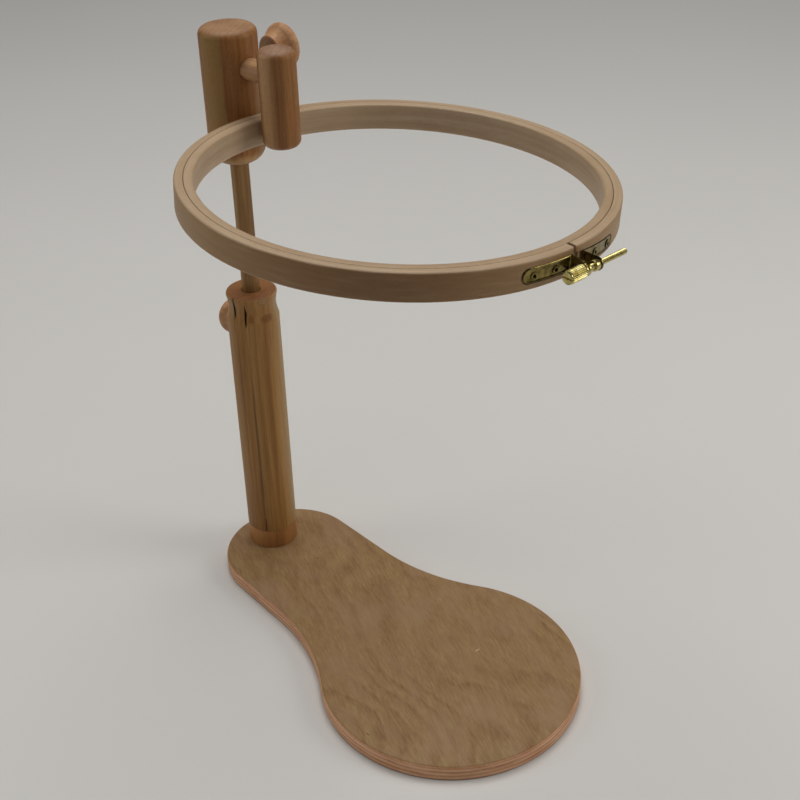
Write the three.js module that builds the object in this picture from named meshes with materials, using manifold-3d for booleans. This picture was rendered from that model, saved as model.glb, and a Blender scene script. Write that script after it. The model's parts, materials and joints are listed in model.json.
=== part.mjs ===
import * as THREE from 'three';
import Module from 'manifold-3d';
import { mergeVertices } from 'three/addons/utils/BufferGeometryUtils.js';

// Embroidery hoop held flat above a paddle-shaped wooden base.
// Millimetres, +Z up. The post axis is the Z axis, the underside of the board is z = 0
// and the board reaches out along +X.

const wasm = await Module();
wasm.setup();

const GAP = 0.3;

// Board: a round heel and a round pan joined by two straight flanks and two hollow curves.
const BOARD_THICK = 12;
const BOARD_EDGE = 1.6;
const HEEL = { x: 23.3, radius: 50.2 };
const PAN = { x: 204, radius: 90 };
const FLANK_SPREAD = THREE.MathUtils.degToRad(1.1);
const HOLLOW_RADIUS = 151;

// Post, its foot collar and the screws driven up through the board.
const COLLAR = { radius: 18.4, top: 28 };
const POST = { radius: 18.5, rim: 18, round: 2.4, top: 229.5, boreFloor: 64 };
const ROD_RADIUS = 6.25;
const BORE_RADIUS = ROD_RADIUS + GAP;
const COVE = { low: 209.5, depth: 1.5 };
const CRACKS = [{ azimuth: -82, low: 213, high: 227.5 }, { azimuth: -52.5, low: 207, high: 225 }];
const CRACK_WIDTH = 1.4;
const CRACK_FLOOR = 11;
const FOOT_SCREW = { radius: 2, head: 4, seat: 0.4, tip: 50, ring: 11 };
const FOOT_SCREW_AZIMUTHS = [60, 180, 300];

// Mast rod and the turned block on top of it.
const ROD = { low: 154, high: 345 };
const BLOCK = { radius: 18.8, low: 325.5, high: 416, bowl: 12, round: 5, dome: 0.8 };
const ARM_AZIMUTH = 6;
const ARM_HEIGHT = 391;
const DOWEL = { radius: 7, from: -8, to: 50, blindEnd: -12 };
const JAW = { radius: 12.2, reach: 44.7, low: 346.7, high: 411, round: 4.5, dome: 1.8 };

// Clamps: a steel stud in a brass insert, turned by a trumpet-shaped knob.
const STUD_RADIUS = 3;
const STUD_IN_KNOB = 7.7;
const INSERT = { radius: 5, outerEnd: 18.2 };
const POST_CLAMP = { azimuth: 165, height: 192.5, tip: ROD_RADIUS + GAP, insertFrom: 9, knobAt: 22 };
const HEAD_CLAMP = { azimuth: 90, height: ARM_HEIGHT, tip: DOWEL.radius + GAP, insertFrom: 8, knobAt: 33 };
const KNOB_PROFILE = [
  [8.8, 0], [9.6, 0.8], [9.8, 2.5], [10.8, 5], [12.5, 7.5], [14, 9.2], [15, 11],
  [15.2, 12.5], [14.6, 14.2], [13.2, 15.5], [11, 16.3], [6, 17], [0, 17.2],
];

// Hoop: two rings, the outer one split opposite the post. In the hoop's own frame the top
// faces lie at z = 0 and +X points away from the post.
const HOOP = { distance: 149.9, azimuth: 4.3, height: 356.9, droop: 2.2, roll: -2.8 };
const RING_DEPTH = 17;
const RING_EDGE = 1.1;
const OUTER_RING = { outer: 130, inner: 124.6 };
const INNER_RING = { outer: 124.3, inner: 118.7 };
const SPLIT = { from: -1.1, to: 1.3 };

// Tensioner: riveted straps with lugs bent outward, a nut and a knurled screw.
const STRAP = { inner: 128.9, outer: 129.7, lugEnd: 143.6, pocketFloor: 128.6 };
const SCREW = { x: 140.5, z: -8.6, radius: 1.7, head: 4, collar: 3.3, from: -19, neck: -5, to: 32 };
const LEFT = {
  start: -1.1, end: -36, pocketStart: 3, pocketEnd: -37.5, lug: -1.5, width: 8.8, slope: 0, z: -8.7,
};
const RIGHT = {
  start: 6.6, end: 43, pocketStart: 4, pocketEnd: 45, lug: 7, width: 8, slope: -0.08, z: -8.7,
};
const RIVET_DROP = 0.7;
const RIVETS = [
  { side: LEFT, arc: -28.7 }, { side: LEFT, arc: -13.6 },
  { side: RIGHT, arc: 22 }, { side: RIGHT, arc: 38.5 },
];
const NUT = { radius: 3.2, from: 2.8, to: 6.3 };

const BIRCH = { color: '#e3cba4', roughness: 0.6, metalness: 0 };
const BEECH = { color: '#ddb98a', roughness: 0.55, metalness: 0 };
const DARK_BEECH = { color: '#b98a5e', roughness: 0.6, metalness: 0 };
const PALE_BEECH = { color: '#ecd3ac', roughness: 0.5, metalness: 0 };
const BRASS = { color: '#c9a94c', roughness: 0.3, metalness: 1 };
const STEEL = { color: '#9a9c9e', roughness: 0.35, metalness: 1 };

const rad = THREE.MathUtils.degToRad;

// Booleans

function toSolid(geometry) {
  const bare = geometry.clone();
  bare.deleteAttribute('normal');
  bare.deleteAttribute('uv');
  const welded = mergeVertices(bare, 1e-4);
  const corners = [];
  for (let i = 0; i < welded.index.count; i += 3) {
    const [a, b, c] = [0, 1, 2].map((k) => welded.index.getX(i + k));
    if (a !== b && b !== c && c !== a) corners.push(a, b, c);
  }
  return new wasm.Manifold(new wasm.Mesh({
    numProp: 3,
    vertProperties: welded.attributes.position.array,
    triVerts: new Uint32Array(corners),
  }));
}

function toGeometry(solid) {
  const mesh = solid.getMesh();
  const geometry = new THREE.BufferGeometry();
  geometry.setAttribute('position', new THREE.BufferAttribute(mesh.vertProperties, 3));
  geometry.setIndex(new THREE.BufferAttribute(mesh.triVerts, 1));
  geometry.computeVertexNormals();
  return geometry;
}

function cut(geometry, ...tools) {
  return toGeometry(tools.reduce((left, tool) => left.subtract(toSolid(tool)), toSolid(geometry)));
}

function join(first, second) {
  return toGeometry(toSolid(first).add(toSolid(second)));
}

function overlap(first, second) {
  return toGeometry(toSolid(first).intersect(toSolid(second)));
}

// Basic forms

// A profile of [radius, height] pairs turned about Z.
function turned(profile, segments) {
  const points = profile.map(([radius, height]) => new THREE.Vector2(radius, height));
  return new THREE.LatheGeometry(points, segments).rotateX(Math.PI / 2);
}

// A quarter round about (radius, height), starting at `from` degrees and turning anticlockwise.
function corner(radius, height, size, from, steps = 3) {
  return Array.from({ length: steps + 1 }, (unused, i) => {
    const angle = rad(from + (90 * i) / steps);
    return [radius + size * Math.cos(angle), height + size * Math.sin(angle)];
  });
}

function cylinder(radius, low, high, edge, segments) {
  const steps = edge > 2 ? 4 : 2;
  return turned([
    [0, low],
    ...corner(radius - edge, low + edge, edge, -90, steps),
    ...corner(radius - edge, high - edge, edge, 0, steps),
    [0, high],
  ], segments);
}

function plainCylinder(radius, low, high, segments) {
  return turned([[0, low], [radius, low], [radius, high], [0, high]], segments);
}

function block(from, to) {
  const size = to.map((value, i) => value - from[i]);
  return new THREE.BoxGeometry(...size)
    .translate(...from.map((value, i) => value + size[i] / 2));
}

// Turns a form made along Z so that it points along +X.
const alongX = (geometry) => geometry.rotateY(Math.PI / 2);

// Turns a form made along Z so that it points along +Y.
const alongY = (geometry) => geometry.rotateX(-Math.PI / 2);

// Points a form made along Z outward from the Z axis at an azimuth and a height.
const outward = (geometry, azimuth, height) => (
  alongX(geometry).rotateZ(rad(azimuth)).translate(0, 0, height)
);

function piece(name, geometry, look) {
  const mesh = new THREE.Mesh(geometry, new THREE.MeshStandardMaterial(look));
  mesh.name = name;
  return mesh;
}

function group(...children) {
  const holder = new THREE.Group();
  holder.add(...children);
  return holder;
}

// Stand

function boardOutline() {
  const along = PAN.x - HEEL.x;
  const offset = HEEL.radius + HOLLOW_RADIUS;
  const rise = offset + along * Math.sin(FLANK_SPREAD);
  const run = along * Math.cos(FLANK_SPREAD) - Math.sqrt((PAN.radius + HOLLOW_RADIUS) ** 2 - rise ** 2);
  const hollowX = HEEL.x - offset * Math.sin(FLANK_SPREAD) + run * Math.cos(FLANK_SPREAD);
  const hollowY = offset * Math.cos(FLANK_SPREAD) + run * Math.sin(FLANK_SPREAD);
  const meet = Math.atan2(hollowY, PAN.x - hollowX);
  const quarter = Math.PI / 2;
  const shape = new THREE.Shape();
  shape.absarc(HEEL.x, 0, HEEL.radius, quarter + FLANK_SPREAD, 3 * quarter - FLANK_SPREAD, false);
  shape.absarc(hollowX, -hollowY, HOLLOW_RADIUS, quarter - FLANK_SPREAD, meet, true);
  shape.absarc(PAN.x, 0, PAN.radius, meet - Math.PI, Math.PI - meet, false);
  shape.absarc(hollowX, hollowY, HOLLOW_RADIUS, -meet, FLANK_SPREAD - quarter, true);
  return shape;
}

function footScrewForm(grow) {
  return turned([
    [0, FOOT_SCREW.seat - grow * 4],
    [FOOT_SCREW.head + grow, FOOT_SCREW.seat - grow * 4],
    [FOOT_SCREW.head + grow, FOOT_SCREW.seat + grow * 0.5],
    [FOOT_SCREW.radius + grow, FOOT_SCREW.seat + 2.4 + grow],
    [FOOT_SCREW.radius + grow, FOOT_SCREW.tip - 5 + grow],
    [0, FOOT_SCREW.tip + grow],
  ], 16).translate(FOOT_SCREW.ring, 0, 0);
}

function footScrewHoles() {
  return FOOT_SCREW_AZIMUTHS.map((azimuth) => footScrewForm(GAP).rotateZ(rad(azimuth)));
}

function boardForm() {
  const slab = new THREE.ExtrudeGeometry(boardOutline(), {
    depth: BOARD_THICK - 2 * BOARD_EDGE,
    bevelThickness: BOARD_EDGE,
    bevelSize: BOARD_EDGE,
    bevelOffset: -BOARD_EDGE,
    bevelSegments: 2,
    curveSegments: 14,
  }).translate(0, 0, BOARD_EDGE);
  return cut(slab, ...footScrewHoles());
}

// The hollow in the post's neck, from its foot up to the rounded rim.
function coveProfile(steps = 6) {
  const high = POST.top - POST.round;
  return Array.from({ length: steps + 1 }, (unused, i) => [
    POST.radius - ((POST.radius - POST.rim) * i) / steps - COVE.depth * Math.sin((Math.PI * i) / steps),
    COVE.low + ((high - COVE.low) * i) / steps,
  ]);
}

// A pointed lens-shaped drying crack in the side of the post.
function crackTool(crack) {
  const middle = (crack.low + crack.high) / 2;
  const lens = new THREE.Shape();
  lens.moveTo(0, crack.low);
  lens.quadraticCurveTo(CRACK_WIDTH, middle, 0, crack.high);
  lens.quadraticCurveTo(-CRACK_WIDTH, middle, 0, crack.low);
  return new THREE.ExtrudeGeometry(lens, { depth: 10, bevelEnabled: false, curveSegments: 6 })
    .applyMatrix4(new THREE.Matrix4().makeBasis(
      new THREE.Vector3(0, 1, 0), new THREE.Vector3(0, 0, 1), new THREE.Vector3(1, 0, 0),
    ))
    .translate(CRACK_FLOOR, 0, 0)
    .rotateZ(rad(crack.azimuth));
}

function clampHole(clamp) {
  const hole = turned([
    [0, 5],
    [STUD_RADIUS + GAP, 5],
    [STUD_RADIUS + GAP, clamp.insertFrom - GAP],
    [INSERT.radius + GAP, clamp.insertFrom - GAP],
    [INSERT.radius + GAP, 30],
    [0, 30],
  ], 20);
  return outward(hole, clamp.azimuth, clamp.height);
}

function postForm() {
  const tube = turned([
    [0, COLLAR.top],
    [POST.radius, COLLAR.top],
    ...coveProfile(),
    ...corner(POST.rim - POST.round, POST.top - POST.round, POST.round, 0).slice(1),
    [BORE_RADIUS, POST.top],
    [BORE_RADIUS, POST.boreFloor],
    [0, POST.boreFloor],
  ], 48);
  return cut(tube, ...CRACKS.map(crackTool), clampHole(POST_CLAMP), ...footScrewHoles());
}

function makeFootScrews() {
  return FOOT_SCREW_AZIMUTHS.map((azimuth, i) => (
    piece(`foot_screw_${i + 1}`, footScrewForm(0).rotateZ(rad(azimuth)), STEEL)
  ));
}

// Clamps

function knobForm() {
  return turned([
    [0, STUD_IN_KNOB + GAP],
    [STUD_RADIUS + GAP, STUD_IN_KNOB + GAP],
    [STUD_RADIUS + GAP, 0],
    ...KNOB_PROFILE,
  ], 36);
}

function insertForm(clamp) {
  const bore = STUD_RADIUS + GAP;
  return turned([
    [bore, clamp.insertFrom],
    [INSERT.radius, clamp.insertFrom],
    [INSERT.radius, INSERT.outerEnd],
    [bore, INSERT.outerEnd],
    [bore, clamp.insertFrom],
  ], 20);
}

function makeClamp(name, clamp, woodLook) {
  const place = (geometry) => outward(geometry, clamp.azimuth, clamp.height);
  const stud = cylinder(STUD_RADIUS, clamp.tip, clamp.knobAt + STUD_IN_KNOB, 0.5, 20);
  return group(
    piece(`${name}_insert`, place(insertForm(clamp)), BRASS),
    piece(`${name}_stud`, place(stud), STEEL),
    piece(`${name}_knob`, place(knobForm().translate(0, 0, clamp.knobAt)), woodLook),
  );
}

// Head

function headBlockForm() {
  const bowl = corner(BLOCK.radius - BLOCK.bowl, BLOCK.low + BLOCK.bowl, BLOCK.bowl, -90, 4);
  const body = turned([
    [0, ROD.high + GAP],
    [BORE_RADIUS, ROD.high + GAP],
    [BORE_RADIUS, BLOCK.low],
    ...bowl,
    ...corner(BLOCK.radius - BLOCK.round, BLOCK.high - BLOCK.dome - BLOCK.round, BLOCK.round, 0, 4),
    [0, BLOCK.high],
  ], 48);
  const dowelHole = outward(plainCylinder(DOWEL.radius + GAP, DOWEL.blindEnd, 30, 28), 0, ARM_HEIGHT);
  return cut(body, dowelHole, clampHole(HEAD_CLAMP));
}

function jawForm() {
  const shoulder = JAW.radius - JAW.round;
  const body = turned([
    [0, JAW.low],
    ...corner(shoulder, JAW.low + JAW.round, JAW.round, -90, 4),
    ...corner(shoulder, JAW.high - JAW.dome - JAW.round, JAW.round, 0, 4),
    [shoulder / 2, JAW.high - JAW.dome / 4],
    [0, JAW.high],
  ], 40).translate(JAW.reach, 0, 0);
  const hole = outward(plainCylinder(DOWEL.radius + GAP, 10, DOWEL.to + GAP, 28), 0, ARM_HEIGHT);
  return cut(body, hole);
}

function makeHead() {
  const dowel = outward(cylinder(DOWEL.radius, DOWEL.from, DOWEL.to, 0.8, 28), 0, ARM_HEIGHT);
  const head = group(
    piece('head_block', headBlockForm(), BEECH),
    piece('pivot_dowel', dowel, PALE_BEECH),
    piece('hoop_jaw', jawForm(), DARK_BEECH),
    makeClamp('head', HEAD_CLAMP, BEECH),
  );
  head.rotation.z = rad(ARM_AZIMUTH);
  return head;
}

// Hoop

function ringForm(ring) {
  const edge = RING_EDGE;
  const top = -edge;
  const bottom = edge - RING_DEPTH;
  const profile = [
    ...corner(ring.inner + edge, bottom, edge, 180, 1),
    ...corner(ring.outer - edge, bottom, edge, 270, 1),
    ...corner(ring.outer - edge, top, edge, 0, 1),
    ...corner(ring.inner + edge, top, edge, 90, 1),
  ];
  return turned([...profile, profile[0]], 108);
}

// Part of a turned band around the hoop whose far end is rounded, sloping with the strap.
function bandForm(side, inner, outer, start, end, width) {
  const middle = (start + end) / 2;
  const away = Math.sign(end - start);
  const half = width / 2;
  const outline = new THREE.Shape();
  outline.moveTo(start - middle, half * away);
  outline.lineTo(start - middle, -half * away);
  outline.lineTo(end - middle - half * away, -half * away);
  outline.absarc(end - middle - half * away, 0, half, -away * Math.PI / 2, away * Math.PI / 2, false);
  const window = new THREE.ExtrudeGeometry(outline, { depth: 20, bevelEnabled: false, curveSegments: 6 })
    .rotateZ(Math.atan(side.slope))
    .applyMatrix4(new THREE.Matrix4().makeBasis(
      new THREE.Vector3(0, 1, 0), new THREE.Vector3(0, 0, 1), new THREE.Vector3(1, 0, 0),
    ))
    .translate(120, 0, strapHeight(side, middle))
    .rotateZ(middle / OUTER_RING.outer);
  const band = turned([[inner, -20], [outer, -20], [outer, 4], [inner, 4], [inner, -20]], 108);
  return overlap(band, window);
}

const strapHeight = (side, arc) => side.z + side.slope * (arc - side.start);

function rivetHole(rivet) {
  const hole = turned([[0, 120], [2.3, 120], [2.3, 125.8], [1.6, 125.8], [1.6, 135], [0, 135]], 16);
  return placeRivet(hole, rivet);
}

function placeRivet(geometry, rivet) {
  return alongX(geometry)
    .rotateZ(rivet.arc / OUTER_RING.outer)
    .translate(0, 0, strapHeight(rivet.side, rivet.arc) - RIVET_DROP);
}

function rivetForm(rivet) {
  const profile = [
    [0.9, 125], [2, 125], [2, 125.5], [1.3, 125.5], [1.3, 129.9], [2.4, 129.9],
    [2.3, 130.2], [1.6, 130.4], [0.9, 130.1], [0.9, 125],
  ];
  return placeRivet(turned(profile, 16), rivet);
}

function strapForm(side) {
  const thick = STRAP.outer - STRAP.inner;
  const half = side.width / 2;
  const lugShape = new THREE.Shape();
  lugShape.moveTo(STRAP.inner, half);
  lugShape.lineTo(STRAP.inner, -half);
  lugShape.lineTo(STRAP.lugEnd - half, -half);
  lugShape.absarc(STRAP.lugEnd - half, 0, half, -Math.PI / 2, Math.PI / 2, false);
  const lug = new THREE.ExtrudeGeometry(lugShape, { depth: thick, bevelEnabled: false, curveSegments: 8 })
    .rotateX(Math.PI / 2)
    .translate(0, side.lug + thick / 2, side.z);
  const band = bandForm(side, STRAP.inner, STRAP.outer, side.start, side.end, side.width);
  const screwHole = alongY(plainCylinder(SCREW.radius + GAP, -20, 20, 20))
    .translate(SCREW.x, 0, SCREW.z);
  const rivetHoles = RIVETS.filter((rivet) => rivet.side === side).map(rivetHole);
  return cut(join(band, lug), screwHole, ...rivetHoles);
}

function outerRingForm() {
  const pockets = [LEFT, RIGHT].map((side) => bandForm(
    side, STRAP.pocketFloor, 134, side.pocketStart, side.pocketEnd, side.width + 2 * GAP,
  ));
  const split = block([115, SPLIT.from, -20], [140, SPLIT.to, 5]);
  return cut(ringForm(OUTER_RING), split, ...pockets, ...RIVETS.map(rivetHole));
}

function screwForm() {
  const bearing = LEFT.lug - 0.4 - GAP;
  const shaft = turned([
    [0, SCREW.from],
    ...corner(SCREW.head - 0.6, SCREW.from + 0.6, 0.6, -90, 1),
    ...corner(SCREW.head - 0.6, SCREW.neck - 0.6, 0.6, 0, 1),
    [SCREW.collar, SCREW.neck],
    [SCREW.collar, bearing],
    [SCREW.radius, bearing],
    [SCREW.radius, SCREW.to - 0.8],
    [SCREW.radius - 0.7, SCREW.to],
    [0, SCREW.to],
  ], 24);
  const slot = block([-6, -0.6, SCREW.from - 1], [6, 0.6, SCREW.from + 1.6]);
  return alongY(cut(shaft, slot)).translate(SCREW.x, 0, SCREW.z);
}

function nutForm() {
  const bore = SCREW.radius + GAP;
  const profile = [
    [bore, NUT.from], [NUT.radius, NUT.from], [NUT.radius, NUT.to], [bore, NUT.to], [bore, NUT.from],
  ];
  return alongY(turned(profile, 24)).translate(SCREW.x, 0, SCREW.z);
}

function makeHoop() {
  const hoop = group(
    piece('outer_ring', outerRingForm(), PALE_BEECH),
    piece('inner_ring', ringForm(INNER_RING), PALE_BEECH),
    piece('strap_left', strapForm(LEFT), BRASS),
    piece('strap_right', strapForm(RIGHT), BRASS),
    ...RIVETS.map((rivet, i) => piece(`rivet_${i + 1}`, rivetForm(rivet), BRASS)),
    piece('tension_screw', screwForm(), BRASS),
    piece('lug_nut', nutForm(), BRASS),
  );
  const azimuth = rad(HOOP.azimuth);
  hoop.position.set(HOOP.distance * Math.cos(azimuth), HOOP.distance * Math.sin(azimuth), HOOP.height);
  hoop.rotation.set(rad(HOOP.roll), rad(HOOP.droop), azimuth, 'ZYX');
  return hoop;
}

export default group(
  piece('base_board', boardForm(), BIRCH),
  piece('foot_collar', cut(plainCylinder(COLLAR.radius, BOARD_THICK, COLLAR.top, 48), ...footScrewHoles()), DARK_BEECH),
  ...makeFootScrews(),
  piece('post_tube', postForm(), BEECH),
  makeClamp('post', POST_CLAMP, BEECH),
  piece('mast_rod', cylinder(ROD_RADIUS, ROD.low, ROD.high, 0.8, 28), PALE_BEECH),
  makeHead(),
  makeHoop(),
);
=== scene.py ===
"""Looks for the embroidery hoop on its stand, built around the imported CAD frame.

Shapes are made in millimetres in each part's own axes and placed in the frame in metres.
"""
import json
import math

import bmesh
import bpy
from mathutils import Matrix, Vector


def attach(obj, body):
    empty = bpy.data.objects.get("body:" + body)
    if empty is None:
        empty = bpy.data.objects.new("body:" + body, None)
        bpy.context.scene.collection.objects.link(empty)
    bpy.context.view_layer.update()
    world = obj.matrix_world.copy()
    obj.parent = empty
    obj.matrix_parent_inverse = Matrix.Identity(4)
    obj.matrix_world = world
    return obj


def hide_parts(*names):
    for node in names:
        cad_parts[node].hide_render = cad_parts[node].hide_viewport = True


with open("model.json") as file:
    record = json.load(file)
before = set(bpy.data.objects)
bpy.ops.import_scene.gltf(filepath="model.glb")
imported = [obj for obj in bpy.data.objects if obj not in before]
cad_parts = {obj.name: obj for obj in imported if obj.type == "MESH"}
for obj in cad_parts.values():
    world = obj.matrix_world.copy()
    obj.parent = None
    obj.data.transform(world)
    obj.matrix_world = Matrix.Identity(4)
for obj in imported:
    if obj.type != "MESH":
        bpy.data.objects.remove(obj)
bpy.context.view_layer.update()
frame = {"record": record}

MM = 0.001
TURN = 2 * math.pi

# ---- dimensions, in millimetres

GAP, TIGHT_GAP, DOWEL_GAP = 0.3, 0.15, 0.2
EDGE = 0.4

BOARD_THICK = 12
BOARD_TOP_EDGE, BOARD_FOOT_EDGE = 2.2, 1.2
HEEL_X, HEEL_RADIUS = 23.3, 50.2
PAN_X, PAN_RADIUS = 204, 90
FLANK_SPREAD = math.radians(1.1)
HOLLOW_RADIUS = 151
VENEER_SKEW = math.radians(20)

COLLAR_RADIUS, COLLAR_TOP = 18.4, 28
POST_RADIUS, POST_RIM, POST_ROUND, POST_TOP, BORE_FLOOR = 18.5, 18, 2.4, 229.5, 64
ROD_RADIUS, BORE_RADIUS = 6.25, 6.55
COVE_LOW, COVE_DEPTH = 209.5, 1.5
CRACKS = [(-82, 213, 227.5), (-52.5, 207, 225)]
CRACK_WIDTH, CRACK_FLOOR = 1.4, 11
FOOT_SCREW_RING, FOOT_SCREW_AZIMUTHS = 11, (60, 180, 300)
FOOT_SCREW_HEAD, FOOT_SCREW_SHANK, FOOT_SCREW_TIP, FOOT_SCREW_GAP = 4, 2, 50, 0.25

ROD_LOW, ROD_HIGH = 154, 345
BLOCK_RADIUS, BLOCK_LOW, BLOCK_HIGH = 18.8, 325.5, 416
BLOCK_BOWL, BLOCK_ROUND, BLOCK_DOME = 12, 5, 0.8
DOWEL_RADIUS, DOWEL_FROM, DOWEL_TO, DOWEL_BLIND_END = 7, -8, 50, -12
JAW_RADIUS, JAW_REACH, JAW_LOW, JAW_HIGH, JAW_ROUND, JAW_DOME = 12.2, 44.7, 346.7, 411, 4.5, 1.8

STUD_RADIUS, STUD_IN_KNOB = 3, 7.7
INSERT_RADIUS, INSERT_END = 5, 18.2
POST_TIP, POST_INSERT_FROM, POST_KNOB_AT = 6.55, 9, 22
HEAD_TIP, HEAD_INSERT_FROM, HEAD_KNOB_AT = 7.3, 8, 33
KNOB_HEIGHT = 17.2
KNOB_OUTLINE = [
    (8.8, 0), (9.6, 0.8), (9.8, 2.5), (10.8, 5), (12.5, 7.5), (14, 9.2), (15, 11),
    (15.2, 12.5), (14.6, 14.2), (13.2, 15.5), (11, 16.3), (6, 17), (0.01, KNOB_HEIGHT),
]

RING_DEPTH, RING_EDGE, RING_JOINT_EDGE = 17, 1.4, 0.35
OUTER_RING_OUT, OUTER_RING_IN = 130, 124.6
INNER_RING_OUT, INNER_RING_IN = 124.3, 118.7
SPLIT_FROM, SPLIT_TO = -1.1, 1.3

STRAP_IN, STRAP_THICK, LUG_END, POCKET_FLOOR = 128.9, 0.8, 143.6, 128.6
LEFT = {
    "start": -1.1, "end": -36, "pocket": (3, -37.5), "lug": -1.5,
    "width": 8.8, "slope": 0, "z": -8.7,
}
RIGHT = {
    "start": 6.6, "end": 43, "pocket": (4, 45), "lug": 7,
    "width": 8, "slope": -0.08, "z": -8.7,
}
RIVETS = [(LEFT, -28.7), (LEFT, -13.6), (RIGHT, 22), (RIGHT, 38.5)]
RIVET_DROP = 0.7
SCREW_X, SCREW_Z, SCREW_RADIUS, SCREW_FROM, SCREW_TO = 140.5, -8.6, 1.7, -19, 32
NUT_RADIUS, NUT_FROM, NUT_TO = 3.2, 2.8, 6.3

# ---- places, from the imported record

joints = {joint["name"]: joint for joint in frame["record"]["behaviour"]["joints"]}
mounts = {mount["name"]: mount for mount in frame["record"]["mounts"]}


def axes_matrix(origin, x, y, z):
    """Matrix from part millimetres to the frame's metres, for the given origin and axes."""
    turn = Matrix((x, y, z)).transposed().to_4x4()
    return Matrix.Translation(Vector(origin)) @ turn @ Matrix.Scale(MM, 4)


def upright_place(azimuth):
    """Part +Z is up on the post's axis, part +X is turned to the azimuth, in radians."""
    return Matrix.Rotation(azimuth, 4, "Z") @ Matrix.Scale(MM, 4)


def outward_place(joint_name):
    """Part +Z runs out along the joint's axis from the post axis, part +Y is up."""
    out = Vector(joints[joint_name]["axis"])
    up = Vector((0, 0, 1))
    return axes_matrix(joints[joint_name]["pos_m"], up.cross(out), up, out)


def hoop_place():
    """Part +Z is the hoop's own axis, part +X runs from its middle to the split in the ring."""
    up = Vector(mounts["fabric_grip"]["axis"])
    along_screw = -Vector(joints["tension_screw_turn"]["axis"])
    return axes_matrix(mounts["fabric_grip"]["pos_m"], along_screw.cross(up), along_screw, up)


ARM_AXIS = Vector(joints["hoop_tilt"]["axis"])
STAND = upright_place(0)
HEAD = upright_place(math.atan2(ARM_AXIS.y, ARM_AXIS.x))
ARM = outward_place("hoop_tilt")
POST_CLAMP = outward_place("post_knob_turn")
HEAD_CLAMP = outward_place("head_knob_turn")
HOOP = hoop_place()

# ---- shapes: (vertices, faces) in mm


def arc(x, y, radius, start, end, steps):
    """Points on a circle from one angle to another, in degrees."""
    return [
        (x + radius * math.cos(angle), y + radius * math.sin(angle))
        for angle in (math.radians(start + (end - start) * i / steps) for i in range(steps + 1))
    ]


def smooth_outline(points, steps=6):
    """A Catmull-Rom curve through the points."""
    ends = [points[0]] + list(points) + [points[-1]]
    out = []
    for before, a, b, after in zip(ends, ends[1:], ends[2:], ends[3:]):
        for i in range(steps):
            t = i / steps
            out.append(tuple(
                0.5 * (2 * q + (r - p) * t + (2 * p - 5 * q + 4 * r - s) * t * t
                       + (3 * q - p - 3 * r + s) * t ** 3)
                for p, q, r, s in zip(before, a, b, after)
            ))
    return out + [points[-1]]


def revolve(profile, segments, ripple=None):
    """Turns (radius, height) points about Z. A closed profile repeats its first point."""
    closed = profile[0] == profile[-1]
    rows = profile[:-1] if closed else profile
    verts, index = [], []
    for radius, height in rows:
        if radius < 1e-6:
            index.append([len(verts)] * segments)
            verts.append((0, 0, height))
            continue
        index.append(list(range(len(verts), len(verts) + segments)))
        for j in range(segments):
            angle = TURN * j / segments
            r = radius + (ripple(angle, radius, height) if ripple else 0)
            verts.append((r * math.cos(angle), r * math.sin(angle), height))
    if closed:
        index.append(index[0])
    faces = []
    for low, high in zip(index, index[1:]):
        for j in range(segments):
            k = (j + 1) % segments
            corners = [low[j], low[k], high[k], high[j]]
            unique = list(dict.fromkeys(corners))
            if len(unique) > 2:
                faces.append(unique)
    return verts, faces


def moved(shape, matrix):
    """The shape with every vertex carried by the matrix."""
    verts, faces = shape
    return [tuple(matrix @ Vector(v)) for v in verts], faces


def rod_shape(radius, low, high, edge, segments=64):
    """A round bar along Z with rounded edges."""
    return revolve([
        (0, low),
        *arc(radius - edge, low + edge, edge, -90, 0, 4),
        *arc(radius - edge, high - edge, edge, 0, 90, 4),
        (0, high),
    ], segments)


def box_shape(low, high):
    xs, ys, zs = zip(low, high)
    corners = [(x, y, z) for z in zs for y in ys for x in xs]
    faces = [(0, 2, 3, 1), (4, 5, 7, 6), (0, 1, 5, 4), (2, 6, 7, 3), (0, 4, 6, 2), (1, 3, 7, 5)]
    return corners, faces


def prism_shape(outline, low, high):
    """An outline of (x, y) points, anticlockwise, drawn up from one height to another."""
    count = len(outline)
    verts = [(x, y, low) for x, y in outline] + [(x, y, high) for x, y in outline]
    sides = [(i, (i + 1) % count, count + (i + 1) % count, count + i) for i in range(count)]
    return verts, [tuple(reversed(range(count))), tuple(range(count, 2 * count)), *sides]


def grid_faces(rows, columns, wrap=False):
    """Quads of a grid numbered row by row; wrap joins the last column to the first."""
    last = columns if wrap else columns - 1
    return [
        (r * columns + c, r * columns + (c + 1) % columns,
         (r + 1) * columns + (c + 1) % columns, (r + 1) * columns + c)
        for r in range(rows - 1) for c in range(last)
    ]


def raw_object(shape, name="raw"):
    """A new Blender object with the shape's vertices and faces."""
    mesh = bpy.data.meshes.new(name)
    mesh.from_pydata(shape[0], [], shape[1])
    mesh.validate()
    obj = bpy.data.objects.new(name, mesh)
    bpy.context.scene.collection.objects.link(obj)
    return obj


def discard(obj):
    """Deletes a scratch object and its mesh."""
    mesh = obj.data
    bpy.data.objects.remove(obj)
    bpy.data.meshes.remove(mesh)


def carve(shape, *cutters):
    """The shape with the cutters taken out of it."""
    target = raw_object(shape)
    tools = [raw_object(cutter) for cutter in cutters]
    for tool in tools:
        modifier = target.modifiers.new("cut", "BOOLEAN")
        modifier.operation = "DIFFERENCE"
        modifier.solver = "EXACT"
        modifier.object = tool
    bpy.context.view_layer.update()
    mesh = target.evaluated_get(bpy.context.evaluated_depsgraph_get()).to_mesh()
    verts = [tuple(v.co) for v in mesh.vertices]
    faces = [tuple(p.vertices) for p in mesh.polygons]
    for obj in [target, *tools]:
        discard(obj)
    return verts, faces


# ---- stand


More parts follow.
